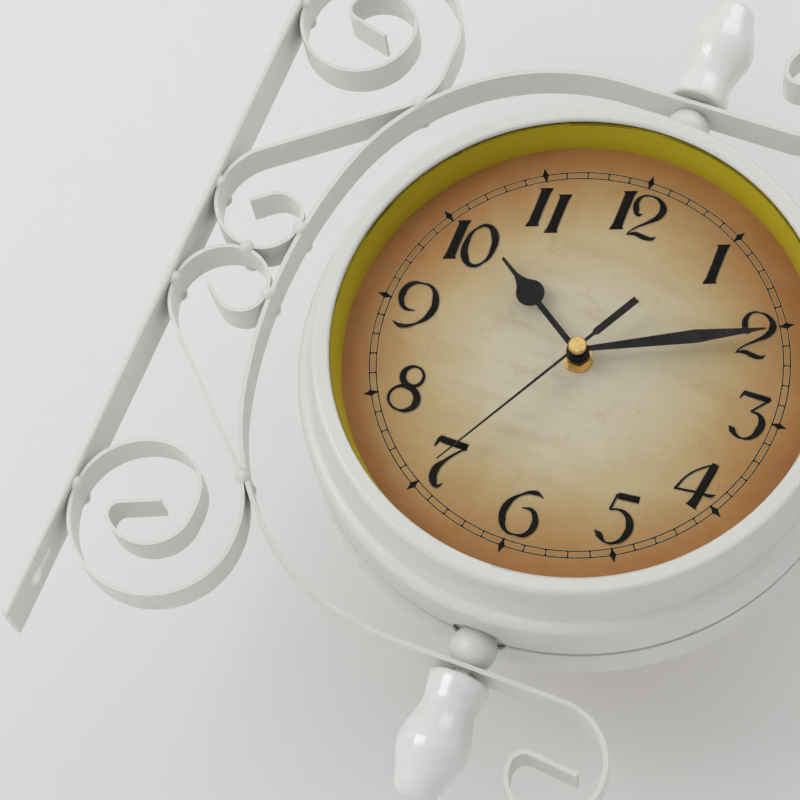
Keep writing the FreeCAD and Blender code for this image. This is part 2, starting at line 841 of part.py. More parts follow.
def make_pivot_bridges():
    """Plates across the band at the top and bottom, which run on the studs."""
    plates = []
    for name, side in PIVOTS.items():
        plate = doc.addObject("Part::Box", f"{name}_bridge")
        plate.setExpression("Length", formula("2 * drum_radius"))
        plate.setExpression("Width", formula("bridge_thick"))
        plate.setExpression("Height", formula("bridge_width"))
        plate.setExpression("Placement.Base.x", formula("-drum_radius"))
        edge = "bridge_radius - bridge_thick" if side > 0 else "-bridge_radius"
        plate.setExpression("Placement.Base.y", formula(edge))
        plate.setExpression("Placement.Base.z", formula("-bridge_width / 2"))
        plates.append(plate)
    band = cylinder("bridge_ends", "drum_radius - drum_sheet", "bridge_width")
    band.setExpression("Placement.Base.z", formula("-bridge_width / 2"))
    trimmed = doc.addObject("Part::Common", "bridge_plates")
    trimmed.Base = fuse("bridge_blanks", plates)
    trimmed.Tool = band
    reach = measure("drum_radius")
    down = Placement(Vector(0, reach, 0), Rotation(Vector(1, 0, 0), 90))
    bore = cylinder("bridge_bore", STUD_BORE, "2 * drum_radius", down)
    keep_on_side(cut("pivot_bridges", trimmed, [bore]), "front")


# ---------------------------------------------------------------- doors

GLASS_FRONT = "bezel_front_height - bezel_sheet - gasket_thick"
GLASS_BACK = f"{GLASS_FRONT} - glass_thick"
DIAL_BACK = "dial_height - dial_thick"
BACKING_BACK = f"{DIAL_BACK} - backing_thick"
MOVEMENT_FRONT = f"{BACKING_BACK} - rubber_thick"
MOVEMENT_BACK = f"{MOVEMENT_FRONT} - movement_thick"


def bezel_path():
    """Centre line of the bezel's sheet, from the lip of the opening out to the foot of the flange."""
    half = measure("bezel_sheet / 2")
    front = measure("bezel_front_height") - half
    lip = measure("bezel_lip_round")
    path = StrapPath(measure("opening_radius") + half, front - lip - measure("bezel_lip_depth"), 90)
    path.line(measure("bezel_lip_depth"))
    path.arc(lip, -90)
    path.line(measure("bezel_front_width"))
    path.arc(measure("bezel_front_round"), -90)
    path.arc(measure("bezel_cove_radius"), measure("bezel_cove_turn"))
    path.arc(measure("bezel_step_round"), 90 - measure("bezel_cove_turn"))
    path.arc(measure("bezel_bead_round"), -90)
    path.line(path.y - measure("bezel_foot_height"))
    return path


def screw_place(radius):
    """A place on the door screw's line, at a distance from the axis of the dials."""
    turn = Rotation(Vector(0, 0, 1), measure("door_screw_angle"))
    along = Rotation(Vector(0, 1, 0), 90)
    point = turn.multVec(Vector(radius, 0, measure("door_screw_height")))
    return Placement(point, turn * along)


def flange_radius():
    return bezel_path().x + measure("bezel_sheet / 2")


def make_bezel(side):
    body = new_body(f"bezel_sheet_{side}")
    revolve(body, new_sketch(body, "XZ_Plane", bezel_path().outline(measure("bezel_sheet"))))
    reach = measure("drum_radius + ball_radius")
    notches = cylinder(
        f"ball_notches_{side}",
        "ball_notch_radius",
        "2 * drum_radius + 2 * ball_radius",
        Placement(Vector(0, reach, 0), Rotation(Vector(1, 0, 0), 90)),
    )
    screw_hole = cylinder(
        f"screw_hole_{side}",
        "door_screw_radius + stud_bore_clearance",
        "ball_radius",
        screw_place(measure("drum_radius - drum_sheet")),
    )
    keep_on_side(cut(f"bezel_{side}", body, [notches, screw_hole]), side)


def make_glazing(side):
    glass = sleeve(f"glass_{side}", "0", "glass_radius", GLASS_BACK, GLASS_FRONT)
    keep_on_side(glass, side)
    gasket_front = f"{GLASS_FRONT} + gasket_thick"
    gasket = sleeve(f"gasket_{side}", "gasket_inner_radius", "gasket_outer_radius", GLASS_FRONT, gasket_front)
    keep_on_side(gasket, side)
    liner = turned(
        f"liner_{side}",
        [
            ("liner_dial_radius", "dial_height"),
            ("liner_dial_radius + liner_thick", "dial_height"),
            ("liner_front_radius + liner_thick", GLASS_BACK),
            ("liner_front_radius", GLASS_BACK),
        ],
    )
    keep_on_side(liner, side)


def make_dial(side):
    keep_on_side(sleeve(f"dial_{side}", "dial_hole_radius", "dial_radius", DIAL_BACK, "dial_height"), side)
    backing = sleeve(f"backing_plate_{side}", "dial_hole_radius", "backing_radius", BACKING_BACK, DIAL_BACK)
    keep_on_side(backing, side)
    wire = doc.addObject("Part::Torus", f"retaining_ring_{side}")
    wire.setExpression("Radius1", formula("retainer_radius"))
    wire.setExpression("Radius2", formula("retainer_wire_radius"))
    wire.setExpression("Angle3", formula("retainer_span"))
    keep_on_side(wire, side, f"{BACKING_BACK} - retainer_wire_radius", 90)


def sector(inner, outer, half_length):
    """Outline of a short piece of a ring, on the side of the hinge."""
    curves = []
    corners = []
    for radius in (inner, outer):
        x = -sqrt(radius**2 - half_length**2)
        curves.append(arc_through((x, half_length), (-radius, 0), (x, -half_length)))
        corners.append(x)
    for y in (half_length, -half_length):
        curves.append(Part.LineSegment(Vector(corners[0], y, 0), Vector(corners[1], y, 0)))
    return curves


def make_door_hinge_leaf(side):
    """Leaf against the bezel's flange, with a knuckle above and below the drum's knuckle."""
    body = new_body(f"door_hinge_leaf_{side}")
    inner = flange_radius()
    outline = sector(inner, inner + measure("hinge_leaf_thick"), measure("hinge_half_length"))
    leaf = new_sketch(body, "XY_Plane", outline)
    extrude(body, leaf, "hinge_leaf_reach")
    knuckle = disc(body, "XZ_Plane", "hinge_knuckle_radius", "-hinge_axis_radius")
    extrude(body, knuckle, "2 * hinge_half_length", symmetric=True)
    gap = block(
        body,
        "XZ_Plane",
        "-hinge_axis_radius - 2 * hinge_knuckle_radius",
        "-hinge_knuckle_radius - moving_gap",
        "0",
        "hinge_knuckle_radius + moving_gap",
    )
    extrude(body, gap, "2 * hinge_middle_half + 2 * moving_gap", kind="Pocket", symmetric=True)
    cut_through(body, disc(body, "XZ_Plane", "hinge_pin_radius + hinge_bore_clearance", "-hinge_axis_radius"))
    keep_on_side(body, side)


def make_drum_hinge_leaf(side):
    """Tongue from the drum out through the seam between the flanges, with the middle knuckle."""
    body = new_body(f"drum_hinge_leaf_{side}")
    knuckle = disc(body, "XZ_Plane", "hinge_knuckle_radius", "-hinge_axis_radius")
    extrude(body, knuckle, "2 * hinge_middle_half", symmetric=True)
    tongue = block(
        body,
        "XZ_Plane",
        "-hinge_axis_radius",
        "-hinge_tongue_thick / 2",
        "-drum_radius + drum_sheet",
        "hinge_tongue_thick / 2",
    )
    extrude(body, tongue, "2 * hinge_middle_half", symmetric=True)
    cut_through(body, disc(body, "XY_Plane", "drum_radius"))
    cut_through(body, disc(body, "XZ_Plane", "hinge_pin_radius + hinge_bore_clearance", "-hinge_axis_radius"))
    keep_on_side(body, side)


def make_hinge_pin(side):
    shank = cylinder(f"hinge_pin_shank_{side}", "hinge_pin_radius", "2 * hinge_half_length")
    shank.setExpression("Placement.Base.z", formula("-hinge_half_length"))
    pieces = [shank]
    for end, back in (("top", "hinge_half_length"), ("bottom", "-hinge_half_length - hinge_pin_head_thick")):
        head = cylinder(f"hinge_pin_{end}_{side}", "hinge_pin_head_radius", "hinge_pin_head_thick")
        head.setExpression("Placement.Base.z", formula(back))
        pieces.append(head)
    pin_x = f"axis_reach - {SIDES[side]} * hinge_axis_radius"
    keep(fuse(f"hinge_pin_{side}", pieces), pin_x, None, CASE_CENTRE_Z)


def make_door_screw(side):
    """Thumbscrew through the flange, over the drum band, backed off flush with the flange's inside."""
    flange = flange_radius()
    tip = flange - measure("bezel_sheet")
    collar_top = flange + measure("door_screw_collar_thick")
    shank_long = "bezel_sheet + door_screw_collar_thick"
    shank = cylinder(f"screw_shank_{side}", "door_screw_radius", shank_long, screw_place(tip))
    collar_thick = "door_screw_collar_thick"
    collar = cylinder(f"screw_collar_{side}", "door_screw_collar_radius", collar_thick, screw_place(flange))
    head_thick = "door_screw_head_thick"
    head = cylinder(f"screw_head_{side}", "door_screw_head_radius", head_thick, screw_place(collar_top))
    keep_on_side(fuse(f"door_screw_{side}", [shank, collar, head]), side)


# ---------------------------------------------------------------- movement


def make_movement_case(side):
    """Moulded case with a bay for the battery and bores for the bush and the knob's stem."""
    body = new_body(f"movement_case_{side}")
    half = "movement_side / 2"
    face = lift(block(body, "XY_Plane", f"-{half}", f"-{half}", half, half), MOVEMENT_BACK)
    extrude(body, face, "movement_thick")
    bay_half = "(battery_length + battery_nub_length) / 2 + battery_play"
    bay_low = "-battery_drop - battery_radius - battery_play"
    bay_high = "-battery_drop + battery_radius + battery_play"
    bay = lift(block(body, "XY_Plane", f"-({bay_half})", bay_low, bay_half, bay_high), MOVEMENT_BACK)
    extrude(body, bay, "2 * battery_radius + 2 * battery_play", kind="Pocket", backwards=True)
    seat = lift(disc(body, "XY_Plane", "bush_radius"), MOVEMENT_FRONT)
    extrude(body, seat, "bush_seat_depth", kind="Pocket")
    pocket = lift(disc(body, "XY_Plane", "arbor_pocket_radius"), MOVEMENT_FRONT)
    extrude(body, pocket, "arbor_pocket_depth", kind="Pocket")
    stem = lift(disc(body, "XY_Plane", "knob_stem_radius + tube_clearance", "0", "knob_rise"), MOVEMENT_BACK)
    extrude(body, stem, "knob_stem_length + moving_gap", kind="Pocket", backwards=True)
    corner = measure(half)

    def upright_corner(edge):
        centre = edge.CenterOfMass
        return min(abs(centre.x), abs(centre.y)) > corner - 1e-6

    round_edges(body, upright_corner, "movement_corner")
    keep_on_side(body, side)


def make_battery(side):
    """Cell lying across the bay, its terminal to the right."""
    half = "battery_length / 2"
    battery = turned(
        f"battery_{side}",
        [
            ("0", f"-({half}) - battery_nub_length / 2"),
            ("battery_radius", f"-({half}) - battery_nub_length / 2"),
            ("battery_radius", f"{half} - battery_nub_length / 2"),
            ("battery_nub_radius", f"{half} - battery_nub_length / 2"),
            ("battery_nub_radius", f"{half} + battery_nub_length / 2"),
            ("0", f"{half} + battery_nub_length / 2"),
        ],
    )
    out = f"{-SIDES[side]} * ({MOVEMENT_BACK} + battery_radius + battery_play)"
    lying = Rotation(Vector(0, 1, 0), 90 * SIDES[side])
    keep(battery, "axis_reach", out, f"{CASE_CENTRE_Z} - battery_drop", lying)


def make_fastening(side):
    """Rubber washer, threaded bush, and the washer and nut that clamp the dial."""
    rubber_name = f"rubber_washer_{side}"
    rubber = sleeve(rubber_name, "dial_hole_radius", "rubber_radius", MOVEMENT_FRONT, BACKING_BACK)
    keep_on_side(rubber, side)
    bush_back = f"{MOVEMENT_FRONT} - bush_seat_depth"
    keep_on_side(sleeve(f"bush_{side}", "bush_bore_radius", "bush_radius", bush_back, "bush_front"), side)
    hole = "dial_hole_radius"
    flange_name = f"dial_washer_{side}"
    flange = washer(flange_name, "dial_washer_radius", hole, "dial_height", "dial_washer_thick")
    nut_back = "dial_height + dial_washer_thick"
    nut = hexagon_ring(f"dial_nut_hexagon_{side}", "dial_nut_radius", hole, nut_back, "dial_nut_thick")
    keep_on_side(fuse(f"dial_nut_{side}", [flange, nut]), side)


def make_set_knob(side):
    front = f"{MOVEMENT_BACK} - moving_gap"
    knob = turned(
        f"set_knob_{side}",
        [
            ("0", f"{front} - knob_thick"),
            ("knob_radius", f"{front} - knob_thick"),
            ("knob_radius", front),
            ("knob_stem_radius", front),
            ("knob_stem_radius", f"{front} + knob_stem_length"),
            ("0", f"{front} + knob_stem_length"),
        ],
    )
    keep_on_side(knob, side)
    knob.setExpression("Placement.Base.z", formula(f"{CASE_CENTRE_Z} + knob_rise"))


# ---------------------------------------------------------------- hands


def make_tubes(side):
    """Nested tubes that carry the hour and minute hands."""
    hour_bore = "minute_tube_radius + tube_clearance"
    hour_tube = sleeve(f"hour_tube_{side}", hour_bore, "hour_tube_radius", "tube_back", "hour_tube_front")
    keep_on_side(hour_tube, side)
    minute_bore = "second_arbor_radius + tube_clearance"
    minute_name = f"minute_tube_{side}"
    minute_tube = sleeve(minute_name, minute_bore, "minute_tube_radius", "tube_back", "minute_tube_front")
    keep_on_side(minute_tube, side)


def hub_top(radius, half):
    """Height at which a bar of a half width leaves a round hub."""
    return sqrt(radius**2 - half**2)


def hour_outline():
    """Round hub, bar, disc and slender tip, pointing to twelve."""
    hub = measure("hour_hub_radius")
    bar = measure("hour_shaft_half")
    disc_y = measure("hour_disc_reach")
    disc_r = measure("hour_disc_radius")
    angle = measure("hour_shoulder_angle")
    neck = measure("hour_neck_half")
    neck_y = measure("hour_neck_reach")
    tip = measure("hour_tip_half")
    tip_y = measure("hour_tip_reach") - tip
    bar_top = disc_y - hub_top(disc_r, bar)
    shoulder = (disc_r * cos(radians(angle)), disc_y + disc_r * sin(radians(angle)))
    hollow = (measure("hour_hollow_half"), (shoulder[1] + neck_y) / 2)
    right_side = [
        ((bar, hub_top(hub, bar)), (bar, bar_top)),
        ((bar, bar_top), (disc_r, disc_y), shoulder),
        (shoulder, hollow, (neck, neck_y)),
        ((neck, neck_y), (tip, tip_y)),
    ]
    return mirrored_outline(right_side) + [
        arc_through((tip, tip_y), (0, tip_y + tip), (-tip, tip_y)),
        arc_through((bar, hub_top(hub, bar)), (0, -hub), (-bar, hub_top(hub, bar))),
    ]


def minute_outline():
    """Round hub and a long leaf, pointing to twelve."""
    hub = measure("minute_hub_radius")
    root = measure("minute_root_half")
    wide = (measure("minute_wide_half"), measure("minute_wide_reach"))
    tip = measure("minute_tip_half")
    tip_y = measure("minute_tip_reach") - tip
    start = (root, hub_top(hub, root))
    right_side = [
        (start, wide),
        (wide, (tip, tip_y)),
    ]
    return mirrored_outline(right_side) + [
        arc_through((tip, tip_y), (0, tip_y + tip), (-tip, tip_y)),
        arc_through(start, (0, -hub), (-root, start[1])),
    ]


def second_outline():
    """Needle pointing to twelve and a counterweight paddle on a thin neck below."""
    hub = measure("second_hub_radius")
    root = measure("second_root_half")
    tip = measure("second_tip_half")
    tip_y = measure("second_tip_reach")
    neck = measure("second_neck_half")
    paddle = measure("paddle_half")
    start = measure("paddle_start")
    end = measure("paddle_end")
    right_side = [
        ((root, hub_top(hub, root)), (tip, tip_y)),
        ((root, hub_top(hub, root)), (hub, 0), (neck, -hub_top(hub, neck))),
        ((neck, -hub_top(hub, neck)), (neck, -start)),
        ((neck, -start), (paddle, -start - paddle)),
        ((paddle, -start - paddle), (paddle, -end)),
    ]
    return mirrored_outline(right_side) + [
        Part.LineSegment(Vector(tip, tip_y, 0), Vector(-tip, tip_y, 0)),
        Part.LineSegment(Vector(paddle, -end, 0), Vector(-paddle, -end, 0)),
    ]


HANDS = {
    "hour": (hour_outline, "hour_tube_radius"),
    "minute": (minute_outline, "minute_tube_radius"),
    "second": (second_outline, "second_arbor_radius"),
}


def make_hand(name, side):
    """A flat hand pressed on its tube or arbor."""
    outline, bore = HANDS[name]
    body = new_body(f"{name}_hand_{side}")
    extrude(body, new_sketch(body, "XY_Plane", outline()), "hand_thick")
    cut_through(body, disc(body, "XY_Plane", bore))
    keep_on_side(body, side, f"{name}_hand_height", measure(f"{name}_hand_angle"))


def make_second_arbor(side):
    """Thin arbor of the second hand, ended by a turned cap."""
    cap_back = "second_hand_height + hand_thick"
    cap_front = f"{cap_back} + cap_thick"
    arbor = turned(
        f"second_arbor_{side}",
        [
            ("0", "tube_back"),
            ("second_arbor_radius", "tube_back"),
            ("second_arbor_radius", cap_back),
            ("cap_radius", cap_back),
            ("cap_radius", f"{cap_front} - cap_edge_round"),
            ("cap_radius - cap_edge_round", cap_front),
            ("0", cap_front),
        ],
    )
    keep_on_side(arbor, side)


# ---------------------------------------------------------------- the whole clock

make_wall_plate()
make_ring_strap()
make_scroll("upper_scroll", 1)
make_scroll("lower_scroll", -1)
make_weld_beads()
for pivot, way in PIVOTS.items():
    make_ball(f"{pivot}_ball", way)
    make_stud(f"{pivot}_stud", way)
    make_finial(f"{pivot}_finial", way)
make_stud_nuts()
make_drum_band()
make_pivot_bridges()
for face in SIDES:
    make_bezel(face)
    make_glazing(face)
    make_dial(face)
    make_door_hinge_leaf(face)
    make_drum_hinge_leaf(face)
    make_hinge_pin(face)
    make_door_screw(face)
    make_movement_case(face)
    make_battery(face)
    make_fastening(face)
    make_set_knob(face)
    make_tubes(face)
    for hand in HANDS:
        make_hand(hand, face)
    make_second_arbor(face)

# ---------------------------------------------------------------- checks and files

doc.recompute()
for item in doc.Objects:
    if "Invalid" in item.State or "Error" in item.State:
        raise RuntimeError(f"{item.Label} failed: {item.State}")
for sub_part in sub_parts:
    if sub_part.Shape.isNull() or not sub_part.Shape.isValid():
        raise RuntimeError(f"{sub_part.Label} has no valid shape")

os.makedirs("parts", exist_ok=True)
for sub_part in sub_parts:
    sub_part.Shape.exportStep(f"parts/{sub_part.Label}.step")
    solids = len(sub_part.Shape.Solids)
    print(f"{sub_part.Label:24s} solids {solids:3d} volume {sub_part.Shape.Volume:12.2f}")
print(len(sub_parts), "sub-parts")
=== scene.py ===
from math import cos, pi, radians, sin
import bpy
from mathutils import Matrix, Vector


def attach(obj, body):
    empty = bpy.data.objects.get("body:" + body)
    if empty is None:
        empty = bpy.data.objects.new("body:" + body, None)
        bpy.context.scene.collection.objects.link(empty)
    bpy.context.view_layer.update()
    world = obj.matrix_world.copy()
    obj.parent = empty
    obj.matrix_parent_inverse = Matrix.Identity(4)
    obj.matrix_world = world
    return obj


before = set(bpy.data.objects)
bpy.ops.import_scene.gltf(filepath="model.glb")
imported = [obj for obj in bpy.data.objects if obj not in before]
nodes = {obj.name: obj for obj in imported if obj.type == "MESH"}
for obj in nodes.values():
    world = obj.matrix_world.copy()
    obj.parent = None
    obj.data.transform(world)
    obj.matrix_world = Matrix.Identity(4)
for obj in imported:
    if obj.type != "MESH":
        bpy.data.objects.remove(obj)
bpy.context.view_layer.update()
MM = 0.001

# Where things are, in metres in the model's frame.
PIVOT_X = 0.184
CASE_MIDDLE = Vector((PIVOT_X, 0, -0.0095))
DIAL_FACE = 0.0307

# Heights of the print above the dial, in millimetres.
OUTLINE_HEIGHT = 0.035
INK_HEIGHT = 0.075
LINE_THICKNESS = 0.02
FLATTENING = 0.02
OUTLINE_WIDTH = 0.42


# ---------------------------------------------------------------- camera

CAMERA_PLACE = Vector((0.3628, -0.9954, -0.3938))
CAMERA_TARGET = Vector((0.11465, 0.0, -0.04023))
CAMERA_ROLL = radians(23.62)


def aim(thing, place, target, roll=0.0):
    """Puts a camera or lamp at a place, facing a target."""
    turn = (target - place).to_track_quat("-Z", "Y").to_matrix().to_4x4()
    thing.matrix_world = Matrix.Translation(place) @ turn @ Matrix.Rotation(roll, 4, "Z")


bpy.ops.object.select_all(action="DESELECT")
bpy.ops.object.camera_add()
camera = bpy.context.object
camera.name = "camera"
camera.data.lens = 116.2
camera.data.sensor_width = 36
camera.data.clip_start = 0.01
aim(camera, CAMERA_PLACE, CAMERA_TARGET, CAMERA_ROLL)
bpy.context.scene.camera = camera


# ---------------------------------------------------------------- finishes

class Amount:
    """One output socket of a shader node, which can be used in sums."""

    def __init__(self, finish, socket):
        self.finish = finish
        self.socket = socket

    def sum(self, operation, first, second):
        return self.finish.node("ShaderNodeMath", {"operation": operation}, {0: first, 1: second})

    def __add__(self, other):
        return self.sum("ADD", self, other)

    def __radd__(self, other):
        return self.sum("ADD", other, self)

    def __sub__(self, other):
        return self.sum("SUBTRACT", self, other)

    def __rsub__(self, other):
        return self.sum("SUBTRACT", other, self)

    def __mul__(self, other):
        return self.sum("MULTIPLY", self, other)

    def __rmul__(self, other):
        return self.sum("MULTIPLY", other, self)

    def __truediv__(self, other):
        return self.sum("DIVIDE", self, other)

    def __pow__(self, other):
        return self.sum("POWER", self, other)


class Finish:
    """A material made of nodes, with its shader ready."""

    def __init__(self, name, colour, roughness, **constants):
        self.material = bpy.data.materials.new(name)
        self.material.use_nodes = True
        self.tree = self.material.node_tree
        self.shader = self.tree.nodes["Principled BSDF"]
        self.shader.inputs["Base Color"].default_value = (*colour, 1)
        self.shader.inputs["Roughness"].default_value = roughness
        for socket, value in constants.items():
            self.shader.inputs[socket.replace("_", " ")].default_value = value
        self.place = self.node("ShaderNodeTexCoord", {}, {}, "Object")

    def node(self, kind, settings, inputs, output=0):
        made = self.tree.nodes.new(kind)
        for name, value in settings.items():
            if name == "stops":
                self.set_stops(made.color_ramp, value)
            else:
                setattr(made, name, value)
        for socket, value in inputs.items():
            if isinstance(value, Amount):
                self.tree.links.new(value.socket, made.inputs[socket])
            else:
                made.inputs[socket].default_value = value
        return Amount(self, made.outputs[output])

    def set_stops(self, ramp, stops):
        while len(ramp.elements) < len(stops):
            ramp.elements.new(1.0)
        for element, (position, value) in zip(ramp.elements, stops):
            element.position = position
            element.color = (*value, 1) if isinstance(value, tuple) else (value, value, value, 1)

    def feed(self, socket, amount):
        self.tree.links.new(amount.socket, self.shader.inputs[socket])

    def noise(self, scale, detail=2.0, roughness=0.5, distortion=0.0, place=None):
        return self.node("ShaderNodeTexNoise", {}, {
            "Vector": place or self.place, "Scale": scale, "Detail": detail,
            "Roughness": roughness, "Distortion": distortion})

    def ramp(self, amount, *stops):
        return self.node("ShaderNodeValToRGB", {"stops": stops}, {"Fac": amount})

    def level(self, amount, low, high, to_low=0.0, to_high=1.0):
        """Stretches low to high over to_low to to_high, and holds the ends."""
        return self.node("ShaderNodeMapRange", {"clamp": True}, {
            "Value": amount, 1: low, 2: high, 3: to_low, 4: to_high})

    def mix(self, amount, under, over):
        under = under if isinstance(under, Amount) else (*under, 1)
        over = over if isinstance(over, Amount) else (*over, 1)
        return self.node("ShaderNodeMix", {"data_type": "RGBA"}, {0: amount, 6: under, 7: over}, 2)

    def moved(self, shift=(0, 0, 0), scale=(1, 1, 1)):
        """The place on the piece, moved and stretched."""
        return self.node("ShaderNodeMapping", {"vector_type": "POINT"}, {
            "Vector": self.place, "Location": shift, "Scale": scale})

    def bump(self, height, distance, strength=1.0):
        return self.node("ShaderNodeBump", {}, {
            "Height": height, "Distance": distance, "Strength": strength})

    def parts(self, vector):
        """The x, y and z of a vector."""
        split = self.node("ShaderNodeSeparateXYZ", {}, {"Vector": vector})
        return [Amount(self, output) for output in split.socket.node.outputs]


def from_middle(finish):
    """The distance from the pivot's line through the dials, in metres."""
    x, y, z = finish.parts(finish.moved((-PIVOT_X, 0, -CASE_MIDDLE.z)))
    return (x * x + z * z) ** 0.5


def make_white_paint():
    finish = Finish("white_paint", (0.77, 0.78, 0.745), 0.36, Coat_Weight=0.25, Coat_Roughness=0.2)
    cloud = finish.noise(9, 3)
    colour = finish.mix(finish.level(cloud, 0.35, 0.65), (0.78, 0.792, 0.758), (0.745, 0.760, 0.718))
    dust = finish.noise(900, 2, 0.7)
    specks = finish.level(dust, 0.715, 0.74)
    grime = finish.level(finish.noise(60, 6, 0.7), 0.62, 0.74, 0.0, 0.25)
    colour = finish.mix(grime, colour, (0.60, 0.60, 0.54))
    colour = finish.mix(specks * 0.55, colour, (0.30, 0.28, 0.24))
    finish.feed("Base Color", colour)
    finish.feed("Roughness", finish.level(finish.noise(120, 3), 0.3, 0.7, 0.30, 0.46))
    peel = finish.noise(420, 2, 0.4)
    runs = finish.noise(45, 2)
    finish.feed("Normal", finish.bump(peel * 0.3 + runs, 0.0005, 0.35))
    return finish


def make_finial_white():
    finish = Finish("finial_white", (0.86, 0.855, 0.84), 0.16, Coat_Weight=0.6, Coat_Roughness=0.06)
    cloud = finish.noise(14, 3)
    finish.feed("Base Color", finish.mix(
        finish.level(cloud, 0.35, 0.65), (0.865, 0.86, 0.845), (0.825, 0.815, 0.79)))
    finish.feed("Roughness", finish.level(finish.noise(70, 2), 0.35, 0.65, 0.12, 0.24))
    finish.feed("Normal", finish.bump(finish.noise(55, 2, 0.4), 0.0006, 0.3))
    return finish


def make_steel():
    finish = Finish("steel", (0.42, 0.42, 0.41), 0.34, Metallic=1.0)
    wear = finish.noise(260, 4, 0.7)
    finish.feed("Base Color", finish.mix(
        finish.level(wear, 0.45, 0.7), (0.50, 0.50, 0.49), (0.22, 0.21, 0.19)))
    finish.feed("Roughness", finish.level(wear, 0.35, 0.7, 0.24, 0.5))
    turned = finish.noise(1.0, 3, 0.6, place=finish.moved(scale=(400, 400, 3000)))
    finish.feed("Normal", finish.bump(turned, 0.0001, 0.5))
    return finish


def make_clear_glass():
    finish = Finish("clear_glass", (0.9, 0.93, 0.92), 0.03, IOR=1.5)
    edge = finish.node("ShaderNodeLayerWeight", {}, {"Blend": 0.12}, "Fresnel")
    smears = finish.level(finish.noise(22, 3, 0.6), 0.55, 0.8, 0.0, 0.006)
    finish.feed("Alpha", edge * 0.12 + smears)
    finish.feed("Roughness", finish.level(finish.noise(35, 2), 0.4, 0.7, 0.02, 0.08))
    finish.material.use_transparent_shadow = True
    return finish


def make_black_rubber():
    finish = Finish("black_rubber", (0.018, 0.018, 0.018), 0.72)
    bloom = finish.noise(180, 4)
    finish.feed("Base Color", finish.mix(
        finish.level(bloom, 0.45, 0.7), (0.016, 0.016, 0.016), (0.035, 0.034, 0.032)))
    finish.feed("Normal", finish.bump(finish.noise(1600, 2), 0.0001, 0.4))
    return finish


def make_olive_liner():
    finish = Finish("olive_liner", (0.52, 0.45, 0.02), 0.42)
    x, y, z = finish.parts(finish.place)
    # How near the dial each point of the liner lies, as the mask for painted shade.
    painted_shade_depth = finish.level((y * y) ** 0.5, 0.031, 0.046)
    cloud = finish.level(finish.noise(16, 3), 0.35, 0.65)
    colour = finish.mix(cloud, (0.56, 0.475, 0.016), (0.50, 0.425, 0.014))
    # Painted shade: a darker olive mixed in towards the dial, deep in the liner's recess, where shade
    # falls.
    colour = finish.mix(finish.level(painted_shade_depth, 0.0, 0.45, 0.45, 0.0), colour, (0.34, 0.25, 0.012))
    finish.feed("Base Color", colour)
    finish.feed("Roughness", finish.level(finish.noise(90, 3), 0.35, 0.65, 0.34, 0.5))
    finish.feed("Normal", finish.bump(finish.noise(500, 2), 0.0002, 0.25))
    return finish


def make_printed_dial():
    finish = Finish("printed_dial", (0.6, 0.5, 0.3), 0.55)
    away = from_middle(finish)
    drift = finish.noise(14, 5, 0.62, 0.6)
    cloud = finish.noise(34, 6, 0.68, 0.3)
    fibres = finish.noise(1.0, 4, 0.6, place=finish.moved(scale=(26, 26, 150)))
    reach = away / 0.1 + (drift - 0.5) * 0.42 + (cloud - 0.5) * 0.16
    colour = finish.ramp(
        reach,
        (0.0, (0.70, 0.65, 0.52)), (0.34, (0.66, 0.59, 0.43)),
        (0.56, (0.58, 0.47, 0.26)), (0.74, (0.49, 0.305, 0.115)),
        (0.88, (0.42, 0.185, 0.045)), (1.0, (0.36, 0.135, 0.028)))
    colour = finish.mix(finish.level(fibres, 0.5, 0.78, 0.0, 0.3), colour, (0.40, 0.27, 0.12))
    blots = finish.level(finish.noise(75, 5, 0.72), 0.56, 0.74, 0.0, 0.3)
    colour = finish.mix(blots, colour, (0.34, 0.20, 0.075))
    grain = finish.level(finish.noise(1500, 2, 0.8), 0.3, 0.7, 0.0, 0.10)
    colour = finish.mix(grain, colour, (0.25, 0.18, 0.09))
    finish.feed("Base Color", colour)
    finish.feed("Roughness", finish.level(finish.noise(60, 2), 0.35, 0.65, 0.48, 0.62))
    return finish


def make_black_ink():
    finish = Finish("black_ink", (0.012, 0.011, 0.010), 0.6, Specular_IOR_Level=0.06)
    thin = finish.noise(260, 4, 0.7)
    finish.feed("Base Color", finish.mix(
        finish.level(thin, 0.45, 0.75), (0.009, 0.009, 0.008), (0.022, 0.018, 0.014)))
    return finish


def make_pale_ink():
    finish = Finish("pale_ink", (0.60, 0.52, 0.36), 0.6, Specular_IOR_Level=0.2)
    away = from_middle(finish)
    worn = finish.noise(160, 4, 0.7)
    colour = finish.ramp(away / 0.1, (0.5, (0.62, 0.55, 0.40)), (0.95, (0.52, 0.38, 0.20)))
    finish.feed("Base Color", finish.mix(
        finish.level(worn, 0.45, 0.7, 0.0, 0.5), colour, (0.44, 0.31, 0.15)))
    return finish


def make_black_plastic():
    finish = Finish("black_plastic", (0.022, 0.022, 0.023), 0.45)
    finish.feed("Base Color", finish.mix(
        finish.level(finish.noise(50, 3), 0.4, 0.7), (0.020, 0.020, 0.021), (0.034, 0.033, 0.032)))
    finish.feed("Roughness", finish.level(finish.noise(200, 3), 0.35, 0.65, 0.38, 0.52))
    finish.feed("Normal", finish.bump(finish.noise(2600, 2, 0.8), 0.0001, 0.4))
    return finish


def make_battery_wrap():
    finish = Finish("battery_wrap", (0.02, 0.05, 0.10), 0.28, Coat_Weight=0.4)
    x, y, z = finish.parts(finish.place)
    cap = finish.level(x - PIVOT_X, 0.0105, 0.0106)
    colour = finish.mix(
        finish.level(finish.noise(120, 2), 0.4, 0.6), (0.018, 0.045, 0.095), (0.024, 0.055, 0.11))
    finish.feed("Base Color", finish.mix(cap, colour, (0.42, 0.36, 0.22)))
    finish.feed("Roughness", finish.level(finish.noise(300, 3), 0.35, 0.65, 0.2, 0.34))
    return finish


